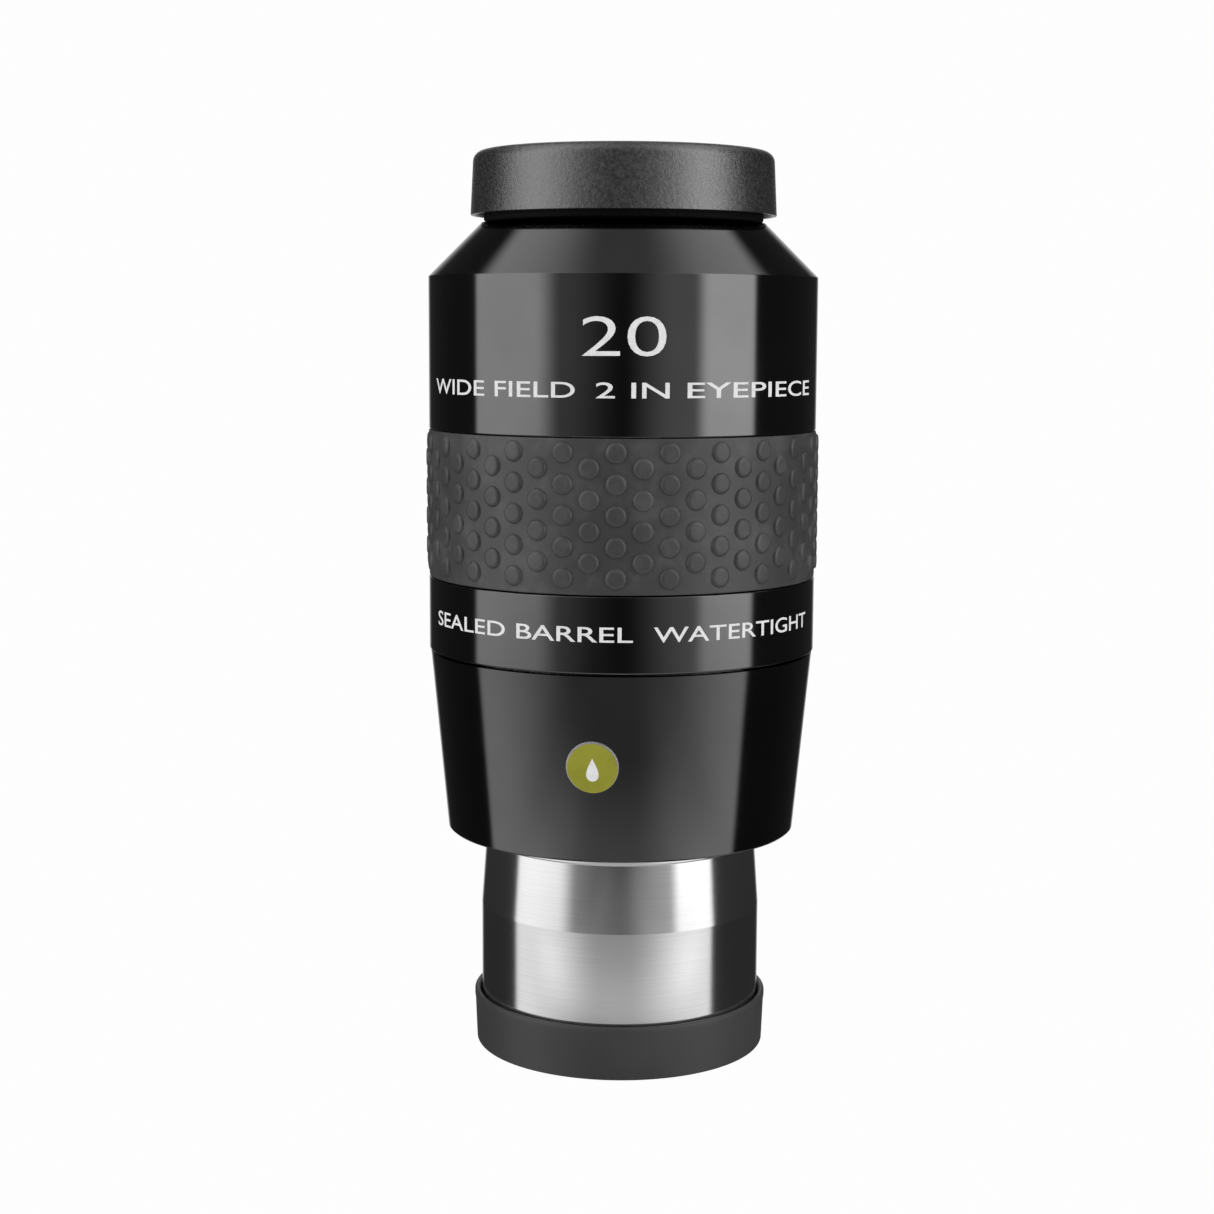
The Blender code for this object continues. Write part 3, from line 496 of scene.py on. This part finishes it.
def make_nosepiece():
    low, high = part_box("nosepiece")
    radius, foot, spigot_top = high.x, low.z, high.z
    land_top = spigot_top - 6.7 * MM
    land_foot = land_top - 2.25 * MM
    land = radius - 0.5 * MM
    cone_top = radius - 0.85 * MM
    cone_foot = land_foot - 12.1 * MM
    socket = radius - 1.5 * MM
    socket_top = foot + 6.6 * MM
    bore = radius - 3.1 * MM
    ledge = socket_top + 29.2 * MM
    ledge_bore = bore - 3.9 * MM
    spigot_bore = bore - 1.7 * MM
    outline = [
        (bore, spigot_top),
        (bore, land_top),
        (22.7 * MM, land_top),
        (22.7 * MM, land_top - 1.1 * MM),
        (24.1 * MM, land_top - 1.1 * MM),
        (24.1 * MM, land_top),
        (land, land_top),
        (land, land_foot + 1.3 * MM),
        (land - 0.2 * MM, land_foot + 0.05 * MM),
        (cone_top, land_foot - 0.05 * MM),
        (radius, cone_foot),
        (radius, foot + 0.35 * MM),
        (radius - 0.35 * MM, foot),
        (socket + 0.4 * MM, foot),
        *thread(socket, socket - 0.4 * MM, foot + 0.4 * MM, socket_top - 0.7 * MM, 0.75 * MM),
        (socket, socket_top),
        (bore, socket_top),
        (bore, ledge),
        (ledge_bore, ledge),
        (ledge_bore, land_top),
        (spigot_bore, land_top),
        (spigot_bore, spigot_top),
    ]
    barrel = eased(turned("nosepiece_barrel", outline), 0.08 * MM, 2, 40)
    fitted(barrel, STEEL, "eyepiece", "nosepiece", smooth=3)


# Housings, collar and grip


def purge_port():
    """The place of the badge on the taper, square to its surface."""
    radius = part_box("lower_housing")[1].x - TAPER_GROWTH + BADGE_HEIGHT * math.tan(TAPER_LEAN)
    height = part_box("lower_housing")[0].z + BADGE_HEIGHT
    turn = Matrix.Rotation(BADGE_TURN, 4, "Z") @ Matrix.Translation((0, -radius, height))
    return turn @ Matrix.Rotation(math.radians(90) + TAPER_LEAN, 4, "X")


def make_lower_housing():
    low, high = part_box("lower_housing")
    foot, top = low.z, high.z
    wide = high.x
    narrow = wide - TAPER_GROWTH
    taper_top = foot + TAPER_LENGTH + 0.45 * MM
    spigot = 32.4 * MM
    bore, throat, recess = 28.3 * MM, 22.6 * MM, 25.3 * MM
    ledge, recess_top = foot + 3.1 * MM, foot + 0.4 * MM
    groove_foot, groove_top, groove = taper_top + 0.8 * MM, taper_top + 2.5 * MM, 31.0 * MM
    outline = [
        (spigot, top),
        (spigot, groove_top),
        (groove, groove_top),
        (groove, groove_foot),
        (spigot, groove_foot),
        (spigot, taper_top),
        (wide - 0.15 * MM, taper_top),
        (wide, taper_top - 0.12 * MM),
        (narrow, foot + 0.3 * MM),
        (narrow - 0.3 * MM, foot),
        (recess, foot),
        (recess, recess_top),
        (throat, recess_top),
        (throat, ledge),
        (bore, ledge),
        (bore, top),
    ]
    housing = turned("tapered_housing", outline)
    port = purge_port()
    badge_seat = port @ Matrix.Translation((0, 0, -0.9 * MM))
    cut(housing, rod(BADGE_RADIUS + 0.06 * MM, 12 * MM, badge_seat))
    screw_seat = port @ Matrix.Translation((0, 0, -6 * MM))
    cut(housing, rod(2.9 * MM, 12 * MM, screw_seat, 64))
    fitted(housing, BLACK, "eyepiece", "lower_housing")


def make_collar_ring():
    low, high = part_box("collar_ring")
    radius, foot, top = high.x, low.z, high.z + 0.1 * MM
    bore = 32.7 * MM
    outline = [
        (radius - 0.2 * MM, top),
        (radius, top - 0.15 * MM),
        (radius, foot + 0.25 * MM),
        (radius - 0.25 * MM, foot),
        (bore, foot),
        (bore, top),
    ]
    fitted(eased(turned("collar", outline), 0.08 * MM), BLACK, "eyepiece", "collar_ring")


def make_upper_housing():
    low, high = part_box("upper_housing")
    neck_top, spigot_foot = high.z, low.z
    radius = high.x
    grip_low, grip_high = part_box("grip_sleeve")
    body_foot = grip_high.z + 0.15 * MM
    cone_foot = grip_high.z + 26.95 * MM
    cone_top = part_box("eyecup")[0].z - 0.1 * MM
    shoulder = radius - (cone_top - cone_foot)
    ledge = cone_top - 4.65 * MM
    bore = 30.5 * MM
    neck = 22.6 * MM
    under_grip = 33 * MM
    spigot = 32.4 * MM
    eye_bore = 19.8 * MM
    outline = [
        (neck, neck_top),
        (neck, cone_top),
        (shoulder, cone_top),
        (radius, cone_foot),
        (radius, body_foot + 0.12 * MM),
        (radius - 0.12 * MM, body_foot),
        (under_grip, body_foot),
        (under_grip, grip_low.z),
        (spigot, grip_low.z),
        (spigot, spigot_foot),
        (bore, spigot_foot),
        (bore, cone_foot),
        (bore + cone_foot - ledge, ledge),
        (eye_bore, ledge),
        (eye_bore, ledge + 1.2 * MM),
        *thread(21.9 * MM, 21.6 * MM, ledge + 1.2 * MM, neck_top - 0.4 * MM, 0.6 * MM),
        (22.1 * MM, neck_top),
    ]
    housing = eased(turned("eye_end_housing", outline), 0.06 * MM, 2, 32)
    fitted(housing, BLACK, "eyepiece", "upper_housing")


def one_stud(radius):
    """A low round stud with a soft shoulder, standing on the grip at the front."""
    start_afresh()
    bpy.ops.mesh.primitive_circle_add(vertices=16, radius=1.88 * MM, fill_type="NGON")
    stud = new_piece("stud")
    into_edit_mode("FACE")
    for rise, widen in ((0.36, 0.97), (0.3, 0.9), (0.13, 0.88), (0.05, 0.75)):
        bpy.ops.mesh.extrude_region_move(TRANSFORM_OT_translate={"value": (0, 0, rise * MM)})
        bpy.ops.transform.resize(value=(widen, widen, 1))
    bpy.ops.mesh.select_all(action="SELECT")
    bpy.ops.mesh.normals_make_consistent(inside=False)
    out_of_edit_mode()
    proud, tall = 0.48 * MM, 0.84 * MM
    outward = Matrix.Rotation(math.radians(90), 4, "X")
    stud.data.transform(Matrix.Translation((0, -(radius + proud - tall), 0)) @ outward)
    return stud


def make_studs(radius, middle):
    """Columns of studs around the grip, five and four to a column by turns."""
    columns = 48
    pitch = 5.22 * MM
    start = -2.0  # degrees from the front
    first = one_stud(radius)
    studs = []
    for column in range(columns):
        rows = 5 - column % 2
        turn = Matrix.Rotation(math.radians(start + 360 * column / columns), 4, "Z")
        for row in range(rows):
            stud = first.copy()
            stud.data = first.data.copy()
            bpy.context.collection.objects.link(stud)
            lift = Matrix.Translation((0, 0, middle + (row - (rows - 1) / 2) * pitch))
            stud.data.transform(turn @ lift)
            studs.append(stud)
    bpy.data.objects.remove(first)
    return studs


def make_grip():
    low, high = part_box("grip_sleeve")
    radius, foot, top = high.x, low.z - 0.05 * MM, high.z
    outline = [
        (radius - 0.25 * MM, top),
        (radius - 0.06 * MM, top - 0.08 * MM),
        (radius, top - 0.3 * MM),
        (radius, foot + 0.3 * MM),
        (radius - 0.06 * MM, foot + 0.08 * MM),
        (radius - 0.25 * MM, foot),
        (33.3 * MM, foot),
        (33.3 * MM, top),
    ]
    sleeve = turned("grip", outline)
    studs = make_studs(radius, (foot + top) / 2 + 0.2 * MM)
    pick(sleeve)
    for stud in studs:
        stud.select_set(True)
    bpy.ops.object.join()
    fitted(sleeve, GRIP, "eyepiece", "grip_sleeve", smooth=50)


# Purge port


def make_purge_port():
    port = purge_port()
    foot = -0.6 * MM
    rim_bore = 3.95 * MM
    rim = [
        (rim_bore, foot),
        (BADGE_RADIUS, foot),
        (BADGE_RADIUS, BADGE_FACE - 0.2 * MM),
        *rounded_end(BADGE_RADIUS - 0.1 * MM, BADGE_FACE - 0.1 * MM, 0.1 * MM, 0, 90, 4),
        (rim_bore, BADGE_FACE),
    ]
    bezel = turned("badge_bezel", rim, 96)
    bezel.data.transform(port)
    fitted(bezel, SATIN, "eyepiece")
    painted = BADGE_RADIUS - 0.2 * MM
    disc = [
        (0.3 * MM, BADGE_FACE - 0.05 * MM),
        (painted, BADGE_FACE - 0.05 * MM),
        (painted, BADGE_FACE + 0.02 * MM),
        (painted - 0.05 * MM, BADGE_FACE + 0.04 * MM),
        (0.3 * MM, BADGE_FACE + 0.04 * MM),
    ]
    badge = turned("badge_paint", disc, 96, ring=False)
    # The paint is shifted off-centre, leaving the pale rim bare only at the top: a painted
    # highlight.
    badge.data.transform(port @ Matrix.Translation((*PRINT_SHIFT, 0)))
    fitted(badge, OLIVE, "eyepiece", "purge_badge")
    make_drop(port)
    head = -0.9 * MM
    screw = [
        (0.2 * MM, head),
        (2.5 * MM, head),
        (2.6 * MM, head - 0.1 * MM),
        (2.6 * MM, head - 0.9 * MM),
        *thread(1.1 * MM, 0.95 * MM, head - 3.3 * MM, head - 0.9 * MM, 0.4 * MM)[::-1],
        (1.0 * MM, head - 3.4 * MM),
        (0.2 * MM, head - 3.4 * MM),
    ]
    plug = turned("purge_screw", screw, 64, ring=False)
    cut(plug, block((8 * MM, 0.6 * MM, 0.8 * MM), (0, 0, head)))
    plug.data.transform(port)
    fitted(plug, STEEL, "eyepiece", "purge_plug")
    o_ring("purge_o_ring", 1.75 * MM, 0.35 * MM, head - 1.25 * MM, "purge_seal", 48, port)


def make_drop(port):
    """A plain drop, printed in white on the badge."""
    start_afresh()
    bpy.ops.mesh.primitive_circle_add(vertices=48, radius=1.0, fill_type="NGON")
    drop = new_piece("badge_drop")
    for vertex in drop.data.vertices:
        turn = math.atan2(vertex.co.y, vertex.co.x) - math.pi / 2
        vertex.co.x *= abs(math.sin(turn / 2)) ** 1.5
        vertex.co.y = vertex.co.y * 1.35 - 0.15
    drop.data.transform(Matrix.Diagonal((1.5 * MM, 1.5 * MM, 1, 1)))
    drop = inked(drop)
    drop.data.transform(port @ Matrix.Translation((*PRINT_SHIFT, BADGE_FACE + 0.05 * MM)))
    fitted(drop, WHITE, "eyepiece", smooth=20)


# Markings


def inked(shape):
    """Gives a flat shape the thickness of a coat of paint."""
    paint = shape.modifiers.new("Paint", "SOLIDIFY")
    paint.thickness = 0.03 * MM
    paint.offset = 0
    return applied(shape, paint)


def lettered(name, words, radius, foot, capitals, start, stop, weight=0.0):
    """Lettering around a cylinder, with capitals this tall, between two angles in degrees from
    the front."""
    start_afresh()
    bpy.ops.object.text_add()
    line = new_piece(name)
    line.data.body = words
    line.data.resolution_u = 5
    line.data.offset = weight
    bpy.ops.object.convert(target="MESH")
    line = new_piece(name)
    across = [vertex.co.x for vertex in line.data.vertices]
    up = [vertex.co.y for vertex in line.data.vertices]
    width = radius * math.radians(stop - start)
    line.data.transform(Matrix.Translation((-min(across), -min(up), 0)))
    stretch = (width / (max(across) - min(across)), capitals / (max(up) - min(up)), 1, 1)
    line.data.transform(Matrix.Diagonal(stretch))
    into_edit_mode()
    bpy.ops.mesh.remove_doubles(threshold=0.002 * MM)
    slices = int(width / (0.6 * MM))
    for i in range(1, slices):
        bpy.ops.mesh.select_all(action="SELECT")
        bpy.ops.mesh.bisect(plane_co=(width * i / slices, 0, 0), plane_no=(1, 0, 0))
    out_of_edit_mode()
    for vertex in line.data.vertices:
        turn = math.radians(start) + vertex.co.x / radius
        vertex.co = Vector((radius * math.sin(turn), -radius * math.cos(turn), foot + vertex.co.y))
    fitted(inked(line), WHITE, "eyepiece", smooth=20)


def make_markings():
    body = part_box("upper_housing")[1].x
    body_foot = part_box("grip_sleeve")[1].z
    collar_low, collar_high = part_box("collar_ring")
    number_foot = body_foot + 13.45 * MM
    line_foot = body_foot + 6.6 * MM
    collar_foot = collar_low.z + 5.45 * MM
    lettered("focal_length", "20", body, number_foot, 6.5 * MM, -11.6, 11.5, -0.008)
    for name, words, start, stop in (
        ("field_words", "WIDE FIELD", -69.4, -13.5),
        ("size_words", "2 IN", -7.7, 12.5),
        ("kind_words", "EYEPIECE", 17.6, 68.6),
    ):
        lettered(name, words, body, line_foot, WORD_HEIGHT, start, stop, 0.005)
    for name, words, start, stop in (
        ("sealing_words", "SEALED BARREL", -68.0, 2.8),
        ("weather_words", "WATERTIGHT", 8.6, 68.0),
    ):
        lettered(name, words, collar_high.x, collar_foot, WORD_HEIGHT, start, stop, 0.005)


# Optics and what holds them


def tube_outline(outer, wall, foot, top, edge=0.12 * MM):
    inner = outer - wall
    return [
        (outer - edge, top),
        (outer, top - edge),
        (outer, foot + edge),
        (outer - edge, foot),
        (inner + edge, foot),
        (inner, foot + edge),
        (inner, top - edge),
        (inner + edge, top),
    ]


def make_ring(node, wall, notches=0):
    """A plain ring, or a retaining ring with two spanner notches, above (1) or below (-1)."""
    low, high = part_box(node)
    ring = turned(node + "_turned", tube_outline(high.x, wall, low.z, high.z), INNER_SIDES)
    if notches:
        face = high.z if notches > 0 else low.z
        cut(ring, block((2.4 * high.x, 1.6 * MM, 1.0 * MM), (0, 0, face)))
    fitted(ring, BLACKENED, "eyepiece", node)


def make_cell(node, wall, flange, reach, chamfer):
    """A lens cell: a long tube with a flange at its top and fine baffle grooves inside."""
    low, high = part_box(node)
    radius, bore = high.x, high.x - wall
    lip = bore - reach
    outline = [
        (radius - chamfer, high.z),
        (radius, high.z - chamfer),
        (radius, low.z + 0.2 * MM),
        (radius - 0.2 * MM, low.z),
        (bore + 0.2 * MM, low.z),
        (bore, low.z + 0.2 * MM),
        (bore, high.z - flange),
        *thread(lip, lip + 0.3 * MM, high.z - flange, high.z - 0.2 * MM, 0.6 * MM),
        (lip, high.z),
    ]
    fitted(turned(node + "_turned", outline, INNER_SIDES), BLACKENED, "eyepiece", node)


def face_curve(aperture, height, bulge, upward):
    """A lens face from near its middle out to its edge. Its middle stands out by bulge."""
    if not bulge:
        return [(0.4 * MM, height), (aperture, height)]
    side = 1 if upward else -1
    curve = (aperture**2 + bulge**2) / (2 * abs(bulge))
    points = []
    for i in range(11):
        r = max(0.4 * MM, aperture * i / 10)
        fall = math.copysign(curve - math.sqrt(curve**2 - r**2), bulge)
        points.append((r, height + side * (bulge - fall)))
    return points


def make_lens(node, rim, top_face, base_face):
    """A lens with a straight ground rim. Each face is (aperture, bulge) in millimetres."""
    low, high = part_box(node)
    foot = low.z + max(0.0, base_face[1]) * MM
    top = foot + rim * MM
    upper = face_curve(top_face[0] * MM, top, top_face[1] * MM, True)
    lower = face_curve(base_face[0] * MM, foot, base_face[1] * MM, False)
    ground = 0.15 * MM
    edge = [
        (high.x - ground, top),
        (high.x, top - ground),
        (high.x, foot + ground),
        (high.x - ground, foot),
    ]
    lens = turned(node + "_ground", upper + edge + lower[::-1], INNER_SIDES, ring=False)
    fitted(lens, GLASS, "eyepiece", node, smooth=25)


def o_ring(name, radius, thickness, height, node, sides=INNER_SIDES, place=Matrix()):
    start_afresh()
    bpy.ops.mesh.primitive_torus_add(
        major_radius=radius,
        minor_radius=thickness,
        major_segments=sides,
        minor_segments=12,
        location=(0, 0, height),
    )
    ring = settled(new_piece(name))
    ring.data.transform(place)
    fitted(ring, SEAL, "eyepiece", node, smooth=60)


def make_seal(node):
    """An O-ring as thick as its node is tall."""
    low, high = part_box(node)
    half = (high.z - low.z) / 2
    o_ring(node + "_ring", high.x - half, half, low.z + half, node)


def make_field_stop():
    low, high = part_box("field_stop")
    edge = 17.35 * MM
    outline = [
        (high.x, high.z),
        (high.x, low.z),
        (edge + 2 * MM, low.z),
        (edge, high.z - 0.15 * MM),
        (edge, high.z),
    ]
    fitted(turned("field_stop_turned", outline, INNER_SIDES), BLACKENED, "eyepiece", "field_stop")


def make_eyecup():
    """The soft eyecup: a foot around the neck, a lip over it and a rounded rim for the eye."""
    low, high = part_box("eyecup")
    radius, foot, top = high.x, low.z, high.z
    bore = 22.9 * MM
    lip = foot + 3.55 * MM
    outline = [
        *rounded_end(radius - 0.75 * MM, top - 0.75 * MM, 0.75 * MM, 150, 0, 8),
        (radius, foot + 5.2 * MM),
        (radius - 0.35 * MM, foot + 4.7 * MM),
        (radius, foot + 4.2 * MM),
        (radius, foot + 0.4 * MM),
        (radius - 0.4 * MM, foot),
        (bore, foot),
        (bore, lip),
        (bore - 2.7 * MM, lip),
        *rounded_end(bore - 2.3 * MM, lip + 0.6 * MM, 0.6 * MM, -150, -250, 6),
        (bore + 0.1 * MM, lip + 4.1 * MM),
    ]
    # The eyecup's near-black finish is painted shade for the gap under the top cap.
    fitted(turned("soft_eyecup", outline, 192), EYECUP_PAINTED_SHADE, "eyepiece", "eyecup", smooth=45)


def make_optics():
    make_lens("eye_lens", 3.5, (19.8, 0), (19.5, 4.7))
    make_lens("second_lens", 3.5, (22.2, 3.1), (25.3, 4.6))
    make_lens("middle_doublet_crown", 2.0, (25.3, 2.6), (26.5, 8.2))
    make_lens("middle_doublet_flint", 10.7, (26.5, -8.2), (24.7, 0))
    make_lens("rear_doublet_crown", 2.0, (24.7, 5.5), (26.5, 5.6))
    make_lens("rear_doublet_flint", 11.4, (26.5, -5.6), (23.9, -3.3))
    make_lens("relay_lens", 4.0, (17.7, -2.5), (18.5, 4.5))
    make_lens("field_lens_crown", 9.5, (18.5, -3.8), (18.9, -3.7))
    make_lens("field_lens_flint", 1.4, (18.9, 3.7), (18.9, 0))
    make_cell("upper_lens_cell", 2.4 * MM, 3.0 * MM, 5.3 * MM, 0.8 * MM)
    make_cell("lower_lens_cell", 1.8 * MM, 1.3 * MM, 2.2 * MM, 0.2 * MM)
    make_ring("front_lens_spacer", 1.9 * MM)
    make_ring("rear_lens_spacer", 2.5 * MM)
    make_ring("lower_lens_spacer", 1.1 * MM)
    make_ring("baffle_tube", 1.2 * MM)
    make_ring("upper_cell_lock_ring", 3.2 * MM, -1)
    make_ring("upper_cell_retainer", 3.3 * MM, -1)
    make_ring("field_stop_retainer", 2.5 * MM, 1)
    make_ring("field_lens_retainer", 2.1 * MM, -1)
    make_ring("lower_cell_lock_ring", 2.6 * MM, -1)
    make_ring("eye_lens_retainer", 2.2 * MM, 1)
    for node in ("nosepiece_seal", "field_lens_seal", "lower_housing_seal", "eye_lens_seal"):
        make_seal(node)
    make_field_stop()


# Studio


def make_floor():
    """A white floor under the object, which only the camera sees, and only from above."""
    start_afresh()
    bpy.ops.mesh.primitive_plane_add(size=40, location=(0, 0, -0.2 * MM))
    floor = new_piece("studio_floor")
    finish = Finish("studio_white", None)
    white = finish.add("ShaderNodeEmission", {}, {"Color": (*grey(BACKDROP), 1.0)})
    clear = finish.add("ShaderNodeBsdfTransparent")
    below = finish.add("ShaderNodeNewGeometry", output="Backfacing")
    seen = finish.add("ShaderNodeMixShader", {}, {0: below, 1: white, 2: clear})
    finish.tree.links.new(seen.socket, finish.tree.nodes["Material Output"].inputs["Surface"])
    floor.data.materials.append(finish.material)
    floor.visible_glossy = False
    floor.visible_diffuse = False
    floor.visible_transmission = False
    floor.visible_shadow = False


def softbox(across, start, full, end, gone):
    """How much of a softbox lies in a direction: it fades in from start to full and out again."""
    return across.between(start, full) * across.between(gone, end)


def make_room():
    """A white backdrop. What the object's own gloss sees is a dark room with a tall softbox on
    each side, which spreads towards the camera low down, a pair above, a pale table below and
    a glow behind. Directions are in degrees, from the camera's side and growing to the right."""
    world = bpy.data.worlds.new("studio")
    bpy.context.scene.world = world
    world.use_nodes = True
    room = Nodes(world.node_tree)
    room.tree.nodes.clear()
    x, y, z = room.parts_of(room.add("ShaderNodeTexCoord", output="Generated"))
    right = x.maths("ARCTAN2", x, -y) * math.degrees(1)
    left = -right
    beside = x.maths("ABSOLUTE", x)
    low = z.between(0.02, -0.28)
    sides_high = (
        1.3 * softbox(left, 36, 53, 93, 96.5)
        + 0.22 * softbox(left, 0, 36, 93, 96.5)
        + 1.7 * softbox(right, 41, 51, 80, 84)
        + 0.40 * softbox(right, 0, 30, 80, 84)
    )
    sides_low = 0.9 * softbox(left, 15, 86, 93, 98) + 0.95 * softbox(right, 5, 85, 78.5, 83.5)
    sides = (sides_high * (1 - low) + sides_low * low) * softbox(z, -0.75, -0.45, 0.5, 0.8)
    above = (0.2 + 0.8 * beside.between(0.1, 0.5)) * y.between(0.56, 0.42) * z.between(0.55, 0.75)
    beyond = right.maths("ABSOLUTE", right)
    table = 0.4 * z.between(-0.5, -0.9)
    behind = 0.7 * beyond.between(158, 174) * z.between(0.9, 0.5)
    light = 0.025 + 0.01 * z.between(-0.3, -0.1) + sides + above + table + behind
    dim = room.add("ShaderNodeBackground", {}, {"Color": light})
    white = room.add("ShaderNodeBackground", {}, {"Color": (*grey(BACKDROP), 1.0)})
    seen = room.add("ShaderNodeLightPath", output="Is Camera Ray")
    shown = room.add("ShaderNodeMixShader", {}, {0: seen, 1: dim, 2: white})
    room.add("ShaderNodeOutputWorld", {}, {"Surface": shown})


def make_glow():
    """A soft glow that lies before the object and shows only in its gloss. It is brightest near
    the object and fades away from it, and the softboxes show through it."""
    start_afresh()
    bpy.ops.mesh.primitive_plane_add(size=1, location=(0, 0, -0.3 * MM))
    card = settled(new_piece("studio_glow"))
    finish = Finish("studio_glow", None)
    x, y, _ = finish.parts_of(finish.add("ShaderNodeTexCoord", output="Object"))
    light = 0.12 + 0.2 * y.between(-0.18, -0.11) + 0.15 * y.between(-0.11, -0.07)
    fade = softbox(y, -0.47, -0.3, -0.065, -0.03)
    light = light * fade * x.maths("ABSOLUTE", x).between(0.13, 0.06)
    glow = finish.add("ShaderNodeEmission", {}, {"Color": light})
    clear = finish.add("ShaderNodeBsdfTransparent")
    both = finish.add("ShaderNodeAddShader", {}, {0: glow, 1: clear})
    finish.tree.links.new(both.socket, finish.tree.nodes["Material Output"].inputs["Surface"])
    card.data.materials.append(finish.material)
    card.visible_camera = False
    card.visible_diffuse = False
    card.visible_transmission = False
    card.visible_shadow = False


def make_camera():
    """A camera a forearm away, a little above the middle of the object and tilted down."""
    data = bpy.data.cameras.new("camera")
    data.lens = 65.1
    data.sensor_width = 36
    data.clip_start = 0.01
    camera = bpy.data.objects.new("camera", data)
    bpy.context.scene.collection.objects.link(camera)
    camera.location = (-2.63 * MM, -395.9 * MM, 131.05 * MM)
    down, sideways = 7.34, 0.264  # degrees
    tilt = Matrix.Rotation(math.radians(90 - down), 4, "X")
    roll = Matrix.Rotation(math.radians(sideways), 4, "Z")
    camera.rotation_euler = (tilt @ roll).to_euler()
    bpy.context.scene.camera = camera


for leftover in ("Cube", "Light", "Camera"):
    if leftover in bpy.data.objects:
        bpy.data.objects.remove(bpy.data.objects[leftover])

make_bottom_cap()
make_nosepiece()
make_lower_housing()
make_purge_port()
make_collar_ring()
make_grip()
make_upper_housing()
make_markings()
make_optics()
make_eyecup()
make_top_cap()
make_floor()
make_glow()
make_room()
make_camera()
bpy.context.scene.view_settings.view_transform = "Standard"
